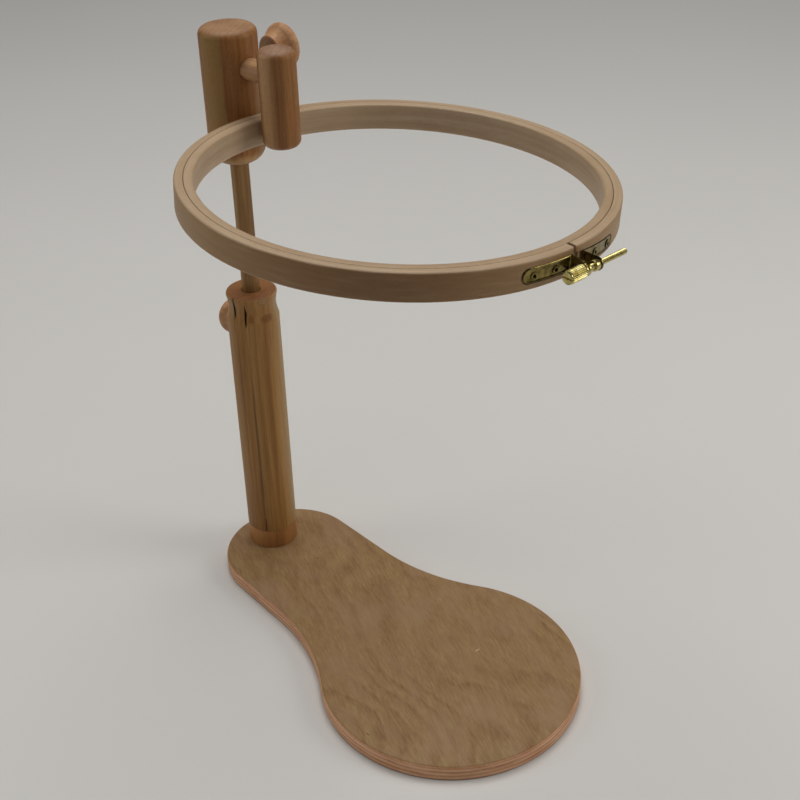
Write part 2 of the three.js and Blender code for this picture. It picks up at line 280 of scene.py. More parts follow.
def board_outline():
    """The paddle's outline, anticlockwise, with its outward normals."""
    along = PAN_X - HEEL_X
    offset = HEEL_RADIUS + HOLLOW_RADIUS
    rise = offset + along * math.sin(FLANK_SPREAD)
    run = along * math.cos(FLANK_SPREAD) - math.sqrt((PAN_RADIUS + HOLLOW_RADIUS) ** 2 - rise ** 2)
    hollow_x = HEEL_X - offset * math.sin(FLANK_SPREAD) + run * math.cos(FLANK_SPREAD)
    hollow_y = offset * math.cos(FLANK_SPREAD) + run * math.sin(FLANK_SPREAD)
    meet = math.degrees(math.atan2(hollow_y, PAN_X - hollow_x))
    spread = math.degrees(FLANK_SPREAD)
    arcs = [
        (HEEL_X, 0, HEEL_RADIUS, 90 + spread, 270 - spread, 64, 1),
        (hollow_x, -hollow_y, HOLLOW_RADIUS, 90 - spread, meet, 48, -1),
        (PAN_X, 0, PAN_RADIUS, meet - 180, 180 - meet, 128, 1),
        (hollow_x, hollow_y, HOLLOW_RADIUS, -meet, spread - 90, 48, -1),
    ]
    outline = []
    for x, y, radius, start, end, steps, side in arcs:
        for px, py in arc(x, y, radius, start, end, steps):
            outline.append((px, py, side * (px - x) / radius, side * (py - y) / radius))
    return outline


def board_shape():
    outline = board_outline()
    edge = [(-x, z) for x, z in arc(BOARD_FOOT_EDGE, BOARD_FOOT_EDGE, BOARD_FOOT_EDGE, 270, 180, 4)]
    top = BOARD_THICK - BOARD_TOP_EDGE
    edge += [(-x, z) for x, z in arc(BOARD_TOP_EDGE, top, BOARD_TOP_EDGE, 180, 90, 7)]
    verts = [(x + nx * inset, y + ny * inset, z) for inset, z in edge for x, y, nx, ny in outline]
    count = len(outline)
    faces = grid_faces(len(edge), count, wrap=True)
    faces += [tuple(reversed(range(count))), tuple(range(len(verts) - count, len(verts)))]
    return carve((verts, faces), *foot_screw_holes())


def foot_screw_holes():
    """Cutters for the countersunk holes of the foot screws, a little wider than the screws."""
    head, shank = FOOT_SCREW_HEAD + FOOT_SCREW_GAP, FOOT_SCREW_SHANK + FOOT_SCREW_GAP
    hole = revolve([
        (0, -1.1), (head, -1.1), (head, 0.625), (shank, 3.05), (shank, 45 + FOOT_SCREW_GAP),
        (0, FOOT_SCREW_TIP + FOOT_SCREW_GAP),
    ], 24)
    return [moved(hole, foot_screw_at(azimuth)) for azimuth in FOOT_SCREW_AZIMUTHS]


def foot_screw_at(azimuth):
    """Local +Z runs up one foot screw; the azimuth is in degrees."""
    return Matrix.Rotation(math.radians(azimuth), 4, "Z") @ Matrix.Translation((FOOT_SCREW_RING, 0, 0))


def foot_screw_shape(azimuth):
    """A countersunk wood screw with a cross recess and a coarse thread."""
    thread_from, thread_to, pitch, depth = 14, 47, 2.2, 0.45
    recess, recess_half, recess_top = 2.4, 0.45, 2

    def thread(angle, radius, height):
        if radius > FOOT_SCREW_SHANK + 0.01 or not thread_from <= height <= thread_to:
            return 0
        turn = (height / pitch - angle / TURN) % 1
        return -depth * min(1, abs(turn - 0.5) * 3)

    shank = [(FOOT_SCREW_SHANK, 3 + i / 4) for i in range(169)]
    profile = [(0, 0.4), (FOOT_SCREW_HEAD - 0.2, 0.4), (FOOT_SCREW_HEAD, 0.7), *shank, (0, FOOT_SCREW_TIP)]
    bars = [
        box_shape((-recess, -recess_half, -1), (recess, recess_half, recess_top)),
        box_shape((-recess_half, -recess, -1), (recess_half, recess, recess_top)),
    ]
    return moved(carve(revolve(profile, 24, thread), *bars), foot_screw_at(azimuth))


def collar_shape():
    return carve(rod_shape(COLLAR_RADIUS, BOARD_THICK, COLLAR_TOP, EDGE, 96), *foot_screw_holes())


def cove_profile(steps=20):
    """The hollow in the post's neck, from its foot up to the rounded rim."""
    high = POST_TOP - POST_ROUND
    points = []
    for i in range(steps + 1):
        t = i / steps
        radius = POST_RADIUS + (POST_RIM - POST_RADIUS) * t - COVE_DEPTH * math.sin(math.pi * t)
        points.append((radius, COVE_LOW + (high - COVE_LOW) * t))
    return points


def crack_cutter(azimuth, low, high):
    """A tall pointed lens, wandering a little, that is cut into the side of the post."""
    middle, half, steps, outside = (low + high) / 2, (high - low) / 2, 12, 25
    heights = [middle + half * math.sin(math.pi * (i / steps - 0.5)) for i in range(steps + 1)]

    def edge(z, side):
        wander = 0.25 * math.sin((z - low) * 0.7)
        return wander + side * CRACK_WIDTH / 2 * (1 - ((z - middle) / half) ** 2), z

    right = [edge(z, 1) for z in heights]
    left = [edge(z, -1) for z in reversed(heights[1:-1])]
    lens = prism_shape(right + left, CRACK_FLOOR, outside)
    outward = Matrix(((0, 0, 1, 0), (1, 0, 0, 0), (0, 1, 0, 0), (0, 0, 0, 1)))
    return moved(lens, Matrix.Rotation(math.radians(azimuth), 4, "Z") @ outward)


def post_clamp_cutter():
    """The stepped hole of the post's clamp: the stud's from inside the bore, then the insert's."""
    narrow, wide, step = STUD_RADIUS + GAP, INSERT_RADIUS + TIGHT_GAP, POST_INSERT_FROM - GAP
    inside, outside = 5, 30
    hole = revolve([
        (0, inside), (narrow, inside), (narrow, step), (wide, step), (wide, outside), (0, outside),
    ], 40)
    return moved(hole, Matrix.Scale(1 / MM, 4) @ POST_CLAMP)


def post_shape():
    tube = revolve([
        (0, COLLAR_TOP), (POST_RADIUS - EDGE, COLLAR_TOP), (POST_RADIUS, COLLAR_TOP + EDGE),
        *cove_profile(),
        *arc(POST_RIM - POST_ROUND, POST_TOP - POST_ROUND, POST_ROUND, 10, 90, 8),
        (BORE_RADIUS + EDGE, POST_TOP), (BORE_RADIUS, POST_TOP - EDGE),
        (BORE_RADIUS, BORE_FLOOR), (0, BORE_FLOOR),
    ], 128)
    cracks = [crack_cutter(*crack) for crack in CRACKS]
    return carve(tube, *cracks, post_clamp_cutter(), *foot_screw_holes())


# ---- clamps


def knob_shape():
    """A mushroom-shaped knob, its foot at height 0, with a blind socket for its stud."""
    socket, depth = STUD_RADIUS + TIGHT_GAP, STUD_IN_KNOB + GAP
    outline = smooth_outline(KNOB_OUTLINE)
    return revolve([(0, depth), (socket, depth), (socket, 0), *outline, (0, KNOB_HEIGHT)], 96)


def stud_shape(tip, end):
    """A machine-threaded stud with chamfered ends."""
    pitch, depth, steps, chamfer, end_radius = 1.0, 0.45, 6, 0.8, 2.2

    def thread(angle, radius, height):
        if radius < STUD_RADIUS - 0.01:
            return 0
        turn = (height / pitch - angle / TURN) % 1
        return -2 * depth * abs(turn - 0.5)

    rows = int((end - tip - 2 * chamfer) / pitch * steps)
    shank = [(STUD_RADIUS, tip + chamfer + i * pitch / steps) for i in range(rows + 1)]
    return revolve([(0, tip), (end_radius, tip), *shank, (end_radius, end), (0, end)], 32, thread)


def insert_shape(start):
    """A threaded insert with a flat rim and a screwdriver slot across its mouth."""
    bore, rim, slot_half, slot_depth = STUD_RADIUS + TIGHT_GAP, 0.3, 0.6, 1.6
    body = revolve([
        (bore, start), (INSERT_RADIUS - EDGE, start), (INSERT_RADIUS, start + EDGE),
        (INSERT_RADIUS, INSERT_END - rim), (INSERT_RADIUS - rim, INSERT_END),
        (bore + EDGE, INSERT_END), (bore, INSERT_END - EDGE), (bore, start),
    ], 64)
    slot = box_shape((-6, -slot_half, INSERT_END - slot_depth), (6, slot_half, INSERT_END + 1))
    return carve(body, slot)


# ---- head


def block_shape():
    """The head: a bowl-shaped foot, a low dome on top, and holes for rod and arm."""
    body = revolve([
        (0, ROD_HIGH + GAP), (BORE_RADIUS, ROD_HIGH + GAP),
        (BORE_RADIUS, BLOCK_LOW + 0.3), (BORE_RADIUS + 0.2, BLOCK_LOW),
        *arc(BLOCK_RADIUS - BLOCK_BOWL, BLOCK_LOW + BLOCK_BOWL, BLOCK_BOWL, -88, 0, 14),
        *arc(BLOCK_RADIUS - BLOCK_ROUND, BLOCK_HIGH - BLOCK_DOME - BLOCK_ROUND, BLOCK_ROUND, 0, 84, 12),
        (10, BLOCK_HIGH - 0.3), (5, BLOCK_HIGH - 0.08), (0, BLOCK_HIGH),
    ], 128)
    outside = 30
    dowel_hole = rod_shape(DOWEL_RADIUS + DOWEL_GAP, DOWEL_BLIND_END, outside, 0.2)
    return carve(body, moved(dowel_hole, HEAD.inverted() @ ARM))


def jaw_shape():
    """The jaw about its own axis, domed on top and bored for the arm."""
    shoulder = JAW_RADIUS - JAW_ROUND
    dome = [(r, JAW_HIGH - JAW_DOME * (r / shoulder) ** 2) for r in (6.5, 5, 3.5, 2, 0)]
    body = revolve([
        (0, JAW_LOW),
        *arc(shoulder, JAW_LOW + JAW_ROUND, JAW_ROUND, -90, 0, 10),
        *arc(shoulder, JAW_HIGH - JAW_DOME - JAW_ROUND, JAW_ROUND, 0, 78, 10),
        *dome,
    ], 96)
    hole = rod_shape(DOWEL_RADIUS + DOWEL_GAP, 10, DOWEL_TO + GAP, 0.2)
    return carve(body, moved(hole, Matrix.Translation((-JAW_REACH, 0, 0)) @ HEAD.inverted() @ ARM))


# ---- hoop


def ring_shape(inner, outer, inner_edge, outer_edge, start, end, segments=360):
    """A ring of rounded section between two angles, closed with flat end faces; its top is at 0."""
    a, b, low, high = inner_edge, outer_edge, -RING_DEPTH, 0
    section = [
        *arc(inner + a, low + a, a, 180, 270, 6), *arc(outer - b, low + b, b, 270, 360, 6),
        *arc(outer - b, high - b, b, 0, 90, 6), *arc(inner + a, high - a, a, 90, 180, 6),
    ]
    verts = []
    for i in range(segments + 1):
        angle = start + (end - start) * i / segments
        verts += [(r * math.cos(angle), r * math.sin(angle), z) for r, z in section]
    count = len(section)
    faces = [tuple(reversed(face)) for face in grid_faces(segments + 1, count, wrap=True)]
    return verts, [*faces, tuple(range(count)), tuple(reversed(range(len(verts) - count, len(verts))))]


def strap_height(side, along):
    """Height of a strap's middle line at a distance round the hoop from the split."""
    return side["z"] + side["slope"] * (along - side["start"])


def pocket_outline(side, steps=14):
    """(along, height) points round a strap's pocket, with close points on its two long edges."""
    start, end = side["pocket"]
    away = math.copysign(1, end - start)
    half = side["width"] / 2 + 0.4
    turn = arc(end - away * half, 0, half, -90 * away, -90 * away + 180, 16)
    corners = [(start, away * half), (start, -away * half), *turn]
    outline = []
    for a, b in zip(corners, corners[1:] + corners[:1]):
        pieces = steps if abs(a[0] - b[0]) > 10 else 1
        for i in range(pieces):
            outline.append((a[0] + (b[0] - a[0]) * i / pieces, a[1] + (b[1] - a[1]) * i / pieces))
    return outline


def pocket_cutter(side):
    """The routed pocket that a strap lies in."""
    outline, outside = pocket_outline(side), 134
    verts = []
    for radius in (POCKET_FLOOR, outside):
        for along, height in outline:
            angle = along / OUTER_RING_OUT
            z = height + strap_height(side, along)
            verts.append((radius * math.cos(angle), radius * math.sin(angle), z))
    count = len(outline)
    sides = [(i, (i + 1) % count, count + (i + 1) % count, count + i) for i in range(count)]
    strips = pocket_caps(outline)
    caps = [tuple(reversed(strip)) for strip in strips]
    caps += [tuple(count + i for i in strip) for strip in strips]
    return verts, [*caps, *sides]


def pocket_caps(outline):
    """Splits the pocket outline into quads across its width so that its floor follows the ring."""
    order = sorted(range(len(outline)), key=lambda i: outline[i][0])
    upper = [i for i in order if outline[i][1] > 1e-6]
    lower = [i for i in order if outline[i][1] < -1e-6]
    tips = [i for i in order if abs(outline[i][1]) <= 1e-6]
    strips = [
        (lower[k], lower[k + 1], upper[k + 1], upper[k]) for k in range(len(upper) - 1)
    ]
    for tip in tips:
        near = 0 if outline[tip][0] < outline[upper[0]][0] else -1
        strips.append((tip, lower[near], upper[near]) if near == 0 else (lower[near], tip, upper[near]))
    return strips


def rivet_place(side, along):
    """Local +Z points out along the hoop's radius at the rivet."""
    turn = Matrix.Rotation(along / OUTER_RING_OUT, 4, "Z")
    lift = Matrix.Translation((0, 0, strap_height(side, along) - RIVET_DROP))
    return lift @ turn @ Matrix.Rotation(math.radians(90), 4, "Y")


def rivet_hole(side, along, radius):
    inside, outside = 120, 136
    return moved(rod_shape(radius, inside, outside, 0.1, 32), rivet_place(side, along))


def outer_ring_shape():
    start, end = SPLIT_TO / OUTER_RING_OUT, TURN + SPLIT_FROM / OUTER_RING_OUT
    ring = ring_shape(OUTER_RING_IN, OUTER_RING_OUT, RING_JOINT_EDGE, RING_EDGE, start, end)
    holes = [rivet_hole(side, along, 1.5) for side, along in RIVETS]
    return carve(ring, pocket_cutter(LEFT), pocket_cutter(RIGHT), *holes)


def inner_ring_shape():
    """The whole ring, with a glued seam a twentieth of a millimetre wide."""
    seam = 0.0002
    return ring_shape(INNER_RING_IN, INNER_RING_OUT, RING_EDGE, RING_JOINT_EDGE, seam, TURN - seam)


def strap_path(side, steps=60, bend_steps=8, lug_steps=24):
    """(x, y, normal x, normal y, angle) from the strap's far end, round the bend, to the lug's end."""
    bend = 1.3
    away = math.copysign(1, side["end"] - side["start"])
    lug_y = side["lug"] + away * STRAP_THICK / 2
    centre_y = lug_y + away * bend
    corner_angle = math.asin(centre_y / (STRAP_IN + bend))
    centre_x = (STRAP_IN + bend) * math.cos(corner_angle)
    far_angle = side["end"] / OUTER_RING_OUT
    path = []
    for i in range(steps + 1):
        angle = far_angle + (corner_angle - far_angle) * i / steps
        nx, ny = math.cos(angle), math.sin(angle)
        path.append((STRAP_IN * nx, STRAP_IN * ny, nx, ny, angle))
    first = math.atan2(-math.sin(corner_angle), -math.cos(corner_angle))
    sweep = (-away * math.pi / 2 - first + math.pi) % TURN - math.pi
    for i in range(1, bend_steps + 1):
        angle = first + sweep * i / bend_steps
        nx, ny = -math.cos(angle), -math.sin(angle)
        path.append((centre_x - bend * nx, centre_y - bend * ny, nx, ny, corner_angle))
    for i in range(1, lug_steps + 1):
        x = centre_x + (LUG_END - centre_x) * i / lug_steps
        path.append((x, centre_y - away * bend, 0, away, corner_angle))
    return path


def strap_shape(side):
    """A pressed brass strap: a strip with rounded ends and a raised bright rim."""
    rim_rise, rim_width, rim_fall, rim_round = 0.5, 1.1, 0.4, 0.35
    path = strap_path(side)
    lengths = [0]
    for a, b in zip(path, path[1:]):
        lengths.append(lengths[-1] + math.hypot(b[0] - a[0], b[1] - a[1]))
    total, half, columns = lengths[-1], side["width"] / 2, 21
    stations = end_stations(total, half)
    top, bottom = [], []
    for s in stations:
        x, y, nx, ny, angle = along_path(path, lengths, s)
        z = strap_height(side, angle * OUTER_RING_OUT)
        reach = min(s, total - s, half)
        across = math.sqrt(max(half ** 2 - (half - reach) ** 2, 0.0004))
        for c in range(columns):
            w = across * math.sin(math.pi * (c / (columns - 1) - 0.5))
            inset = half - math.hypot(w, half - reach)
            rise = STRAP_THICK + rim_rise * max(0, 1 - inset / rim_width) ** 0.5
            rise -= rim_fall * max(0, 1 - inset / rim_round)
            top.append((x + nx * rise, y + ny * rise, z + w))
            bottom.append((x, y, z + w))
    rows, count = len(stations), len(top)
    upper = grid_faces(rows, columns)
    lower = [tuple(count + i for i in reversed(face)) for face in upper]
    edges = [
        [r * columns for r in reversed(range(rows))],
        [r * columns + columns - 1 for r in range(rows)],
        list(range(columns)),
        list(reversed(range((rows - 1) * columns, rows * columns))),
    ]
    walls = [face for edge in edges for face in wall_faces(edge, count)]
    return tidy_winding((top + bottom, upper + lower + walls))


def wall_faces(edge, offset):
    """Quads from a row of vertices to the row that is numbered offset higher."""
    return [(a, a + offset, b + offset, b) for a, b in zip(edge, edge[1:])]


def end_stations(total, half, end_steps=10, middle_steps=70):
    """Distances along a strip, close together where its ends are rounded."""
    turn = [half * (1 - math.cos(math.pi / 2 * i / end_steps)) for i in range(end_steps + 1)]
    middle = [half + (total - 2 * half) * i / middle_steps for i in range(1, middle_steps)]
    return turn + middle + [total - t for t in reversed(turn)]


def along_path(path, lengths, s):
    """The path's values at distance s, between the two points on each side of it."""
    for i in range(len(lengths) - 1):
        if s <= lengths[i + 1] or i == len(lengths) - 2:
            t = (s - lengths[i]) / (lengths[i + 1] - lengths[i])
            return tuple(a + (b - a) * t for a, b in zip(path[i], path[i + 1]))


def tidy_winding(shape):
    """The same shape with every face turned to look outward."""
    obj = raw_object(shape)
    work = bmesh.new()
    work.from_mesh(obj.data)
    bmesh.ops.recalc_face_normals(work, faces=work.faces)
    verts = [tuple(v.co) for v in work.verts]
    faces = [tuple(v.index for v in f.verts) for f in work.faces]
    work.free()
    discard(obj)
    return verts, faces


def pierced_strap(side):
    """The strap with the holes for its rivets and for the tension screw."""
    holes = [rivet_hole(other, along, 1.25) for other, along in RIVETS if other is side]
    screw_hole = moved(rod_shape(SCREW_RADIUS + 0.25, -3, 3, 0.1, 32), screw_place(side["lug"]))
    return carve(strap_shape(side), screw_hole, *holes)


def screw_place(shift=0):
    """Local +Z runs along the tension screw, in the hoop's axes."""
    return Matrix.Translation((SCREW_X, shift, SCREW_Z)) @ Matrix.Rotation(math.radians(-90), 4, "X")


def rivet_shape(side, along):
    """A flat hollow rivet with a rolled rim."""
    foot = [(1.1, 125), (1.9, 125), (1.9, 125.4), (1.35, 125.5)]
    rim = [
        (1.35, 129.8), (2.25, 129.85), (2.4, 130.0), (2.3, 130.18), (1.9, 130.3), (1.35, 130.25),
        (1.0, 130.0), (0.9, 129.4),
    ]
    return moved(revolve([*foot, *rim, (0.9, 125.4), foot[0]], 40), rivet_place(side, along))


def screw_shape():
    """The tension screw: a slotted knurled head, a collar and a fine thread."""
    teeth, tooth_depth, pitch, thread_depth, steps = 30, 0.35, 0.5, 0.28, 6
    knurl_from, knurl_to, neck, bearing = -17.6, -6.4, -5, -2.2

    def relief(angle, radius, height):
        if knurl_from < height < knurl_to:
            return -tooth_depth * abs(math.sin(angle * teeth / 2)) ** 0.7
        if height > bearing + 0.5 and radius > SCREW_RADIUS - 0.01:
            turn = (height / pitch - angle / TURN) % 1
            return -thread_depth * abs(turn - 0.5)
        return 0

    head = [
        (0, SCREW_FROM), (3.2, SCREW_FROM), (3.7, SCREW_FROM + 0.4), (3.7, -18.2), (3.4, -17.9),
        (3.4, -17.7), *[(4, -17.5 + 11 * i / 10) for i in range(11)],
        (3.4, -6.3), (3.4, -6.0), (3.7, -5.8), (3.7, -5.2), (3.4, neck), (3.0, -4.8), (2.7, -4.2),
        (2.7, -3.6), (3.3, -3.2), (3.3, bearing),
    ]
    rows = int((SCREW_TO - 0.8 - bearing) / pitch * steps)
    shaft = [(SCREW_RADIUS, bearing + i * pitch / steps) for i in range(rows + 1)]
    tip = [(SCREW_RADIUS - 0.5, SCREW_TO - 0.1), (0.6, SCREW_TO), (0, SCREW_TO)]
    body = revolve(head + shaft + tip, 120, relief)
    slot = box_shape((-6, -0.55, SCREW_FROM - 1), (6, 0.55, SCREW_FROM + 1.5))
    return moved(carve(body, slot), screw_place())


def nut_shape():
    """The round nut behind the second lug."""
    bore = SCREW_RADIUS + 0.2
    profile = [
        (bore, NUT_FROM), *arc(NUT_RADIUS - EDGE, NUT_FROM + EDGE, EDGE, -90, 0, 3),
        *arc(NUT_RADIUS - EDGE, NUT_TO - EDGE, EDGE, 0, 90, 3), (bore, NUT_TO), (bore, NUT_FROM),
    ]
    return moved(revolve(profile, 48), screw_place())


# ---- materials


def linear(hex_colour):
    """RGBA for a shader from an sRGB hex colour."""
    parts = [int(hex_colour[i:i + 2], 16) / 255 for i in (1, 3, 5)]
    return tuple(c / 12.92 if c <= 0.04045 else ((c + 0.055) / 1.055) ** 2.4 for c in parts) + (1,)


class Nodes:
    """Short calls that add linked shader nodes to one new material."""

    def __init__(self, name):
        self.material = bpy.data.materials.new(name)
        self.material.use_nodes = True
        self.tree = self.material.node_tree
        self.shader = self.tree.nodes["Principled BSDF"]

    def feed(self, socket, value):
        if isinstance(value, bpy.types.NodeSocket):
            self.tree.links.new(value, socket)
        else:
            socket.default_value = value

    def add(self, kind, inputs, **settings):
        node = self.tree.nodes.new(kind)
        for key, value in settings.items():
            setattr(node, key, value)
        for key, value in inputs.items():
            self.feed(node.inputs[key], value)
        return node

    def grain(self):
        """Position in the piece's own millimetres, +Z along the fibres."""
        return self.add("ShaderNodeAttribute", {}, attribute_name="grain").outputs["Vector"]

    def math(self, operation, a, b=0.0):
        return self.add("ShaderNodeMath", {0: a, 1: b}, operation=operation).outputs[0]

    def plus(self, a, b):
        return self.math("ADD", a, b)

    def times(self, a, b):
        return self.math("MULTIPLY", a, b)

    def vector(self, operation, a, b):
        return self.add("ShaderNodeVectorMath", {0: a, 1: b}, operation=operation).outputs[0]

    def stretch(self, vector, scales):
        return self.vector("MULTIPLY", vector, scales)

    def length(self, a):
        return self.add("ShaderNodeVectorMath", {0: a}, operation="LENGTH").outputs["Value"]

    def noise(self, vector, scale, detail=2.0, rough=0.5, distortion=0.0):
        node = self.add("ShaderNodeTexNoise", {
            "Vector": vector, "Scale": scale, "Detail": detail, "Roughness": rough,
            "Distortion": distortion,
        })
        return node.outputs["Fac"]

    def step(self, value, low, high, to_low=0.0, to_high=1.0):
        node = self.add("ShaderNodeMapRange", {
            "Value": value, "From Min": low, "From Max": high, "To Min": to_low, "To Max": to_high,
        }, interpolation_type="SMOOTHSTEP")
        return node.outputs["Result"]

    def mix(self, factor, a, b, blend="MIX"):
        node = self.add("ShaderNodeMix", {0: factor, 6: a, 7: b}, data_type="RGBA", blend_type=blend)
        return node.outputs[2]

    def ramp(self, factor, stops):
        node = self.add("ShaderNodeValToRGB", {0: factor})
        elements = node.color_ramp.elements
        while len(elements) < len(stops):
            elements.new(0.5)
        for element, (position, colour) in zip(elements, stops):
            element.position = position
            element.color = linear(colour)
        return node.outputs[0]

    def bump(self, height, distance):
        node = self.add("ShaderNodeBump", {"Height": height, "Distance": distance, "Strength": 1.0})
        self.tree.links.new(node.outputs[0], self.shader.inputs["Normal"])

    def turned(self, vector, azimuth):
        node = self.add("ShaderNodeVectorRotate", {
            "Vector": vector, "Axis": (0, 0, 1), "Angle": -math.radians(azimuth),
        }, rotation_type="AXIS_ANGLE")
        return node.outputs[0]

    def spot(self, vector, azimuth, centre, radii, soft):
        """1 inside an ellipsoid, 0 outside, with a ragged edge; centre is turned to azimuth."""
        away = self.vector("SUBTRACT", self.turned(vector, azimuth), centre)
        scaled = self.vector("DIVIDE", away, radii)
        ragged = self.noise(self.stretch(vector, (0.4, 0.4, 0.05)), 1.0, 3)
        reach = self.plus(self.length(scaled), self.times(ragged, 0.4))
        return self.step(reach, 1.2 - soft, 1.2, 1.0, 0.0)


def streaks(t, g, across, along, detail=3.0):
    """Noise drawn out along the fibres; across and along are features per millimetre."""
    return t.noise(t.stretch(g, (across, across, along)), 1.0, detail, 0.55)


def end_grain(t, own, g, colour, end, tones):
    """Rings and pores where the surface faces the end of the fibres."""
    normal = t.add("ShaderNodeTexCoord", {}).outputs["Normal"]
    dot = t.add("ShaderNodeVectorMath", {0: normal, 1: end}, operation="DOT_PRODUCT")
    facing = t.step(t.math("ABSOLUTE", dot.outputs["Value"]), 0.45, 0.9)
    pith = t.vector("ADD", t.stretch(own, (1, 1, 0)), (34, 21, 0))
    sway = t.times(t.noise(t.stretch(g, (0.09, 0.09, 0.09)), 1.0, 2), 6.0)
    year = t.math("FRACT", t.math("DIVIDE", t.plus(t.length(pith), sway), 3.4))
    pores = t.noise(t.stretch(g, (1.7, 1.7, 1.7)), 1.0, 3, 0.6)
    cloud = t.noise(t.stretch(g, (0.08, 0.08, 0.08)), 1.0, 2)
    tone = t.plus(t.times(year, 0.1), t.times(pores, 0.45))
    tone = t.plus(tone, t.times(cloud, 0.45))
    return t.mix(facing, colour, t.ramp(tone, [(0.36, tones[1]), (0.64, tones[0])]))


def wood(name, tones, seed, spread=0.12, pores=0.3, bands=0.0, zones=(), end=None, end_tones=None,
         rough=0.5):
    """Turned or bent wood: broad streaks, strands and short pores along the grain axis.

    tones run from dark to light and are reached within spread of the middle; bands tints it
    across the fibres; each zone is (colour, strength, azimuth, centre, radii, softness); end is
    the fibres' direction in the frame, for pieces whose end grain shows.
    """
    t = Nodes(name)
    own = t.grain()
    g = t.vector("ADD", own, (seed * 37.0, seed * 17.0, seed * 91.0))
    wide = streaks(t, g, 0.13, 0.0045)
    strand = streaks(t, g, 0.55, 0.009)
    fibre = streaks(t, g, 2.0, 0.06)
    tone = t.plus(t.times(wide, 0.6), t.times(strand, 0.24))
    tone = t.plus(tone, t.times(fibre, 0.16))
    if bands:
        cross = t.noise(t.stretch(g, (0.02, 0.03, 0.03)), 1.0, 2)
        tone = t.plus(tone, t.times(t.math("SUBTRACT", cross, 0.5), bands))
    last = len(tones) - 1
    colour = t.ramp(tone, [(0.5 - spread + 2 * spread * i / last, c) for i, c in enumerate(tones)])

    for zone_colour, strength, azimuth, centre, radii, soft in zones:
        mask = t.times(t.spot(own, azimuth, centre, radii, soft), strength)
        colour = t.mix(mask, colour, linear(zone_colour))

    if end is not None:
        colour = end_grain(t, own, g, colour, end, end_tones)

    pore = t.step(streaks(t, g, 2.2, 0.45, 1.0), 0.58, 0.72)
    colour = t.mix(t.times(pore, pores), colour, linear(tones[0]), "MULTIPLY")

    t.feed(t.shader.inputs["Base Color"], colour)
    t.feed(t.shader.inputs["Roughness"], t.step(fibre, 0.2, 0.8, rough + 0.08, rough - 0.08))
    t.feed(t.shader.inputs["Specular IOR Level"], 0.3)
    t.bump(t.math("SUBTRACT", fibre, pore), 0.0001)
    return t.material


def veneer(t, g, tones, blush, marks):
    """Rotary-cut face veneer: soft wandering contours, pinkish blotches and fine fibres."""
    skew = t.add("ShaderNodeVectorRotate", {
        "Vector": g, "Axis": (0, 1, 0), "Angle": VENEER_SKEW,
    }, rotation_type="AXIS_ANGLE").outputs[0]
    across = t.times(t.add("ShaderNodeSeparateXYZ", {0: skew}).outputs[0], 0.05)
    wander = t.times(t.noise(t.stretch(skew, (0.011, 0.0, 0.0065)), 1.0, 1), 9.0)
    ripple = t.times(t.noise(t.stretch(skew, (0.06, 0.0, 0.03)), 1.0, 3), 0.9)
    field = t.math("FRACT", t.plus(t.plus(across, wander), ripple))
    line = t.times(t.step(field, 0.25, 0.85), t.step(field, 0.85, 0.99, 1.0, 0.0))
    fade = t.step(t.noise(t.stretch(skew, (0.018, 0.0, 0.01)), 1.0, 2), 0.32, 0.55, 0.25, 1.0)
    mottle = t.noise(t.stretch(skew, (0.16, 0.0, 0.07)), 1.0, 4, 0.6)
    fine = t.noise(t.stretch(skew, (0.8, 0.8, 0.12)), 1.0, 3, 0.6)
    tone = t.plus(t.times(mottle, 0.3), t.times(fine, 0.42))
    tone = t.math("SUBTRACT", tone, t.times(t.times(line, fade), 0.1))
    last = len(tones) - 1
    colour = t.ramp(tone, [(0.18 + 0.29 * i / last, c) for i, c in enumerate(tones)])
    cloud = t.noise(t.stretch(skew, (0.035, 0.0, 0.022)), 1.0, 3, 0.55, 0.5)
    colour = t.mix(t.step(cloud, 0.42, 0.68, 0.0, 0.5), colour, linear(blush))
    for mark_colour, strength, centre, radii in marks:
        mask = t.times(t.spot(g, 0, centre, radii, 0.5), strength)
        colour = t.mix(mask, colour, linear(mark_colour))
    return colour, fine


def ply_edges(t, g, height, plies):
    """Layers seen edge on: long-grain and end-grain plies with thin broken glue lines."""
    sway = t.noise(t.stretch(g, (0.012, 0.0, 0.012)), 1.0, 3)
    layer = t.plus(t.math("DIVIDE", height, BOARD_THICK / plies), t.times(sway, 1.3))
    parity = t.step(t.math("PINGPONG", layer, 1.0), 0.4, 0.6)
    pores = t.noise(t.stretch(g, (1.1, 1.6, 1.1)), 1.0, 3, 0.6)
    cloud = t.noise(t.stretch(g, (0.05, 0.3, 0.05)), 1.0, 3)
    light = t.ramp(cloud, [(0.38, "#d8a17b"), (0.62, "#e8b993")])
    speckle = t.plus(t.times(pores, 0.5), t.times(cloud, 0.5))
    dark = t.ramp(speckle, [(0.4, "#b37d55"), (0.62, "#dba77e")])
    edge = t.mix(parity, light, dark)
    glue = t.math("PINGPONG", t.plus(layer, 0.5), 0.5)
    broken = t.step(t.noise(t.stretch(g, (0.03, 0.3, 0.03)), 1.0, 2), 0.5, 0.62)
    glue_line = t.times(t.step(glue, 0.0, 0.12, 1.0, 0.0), t.times(broken, 0.7))
    return t.mix(glue_line, edge, linear("#5d3f2c"))


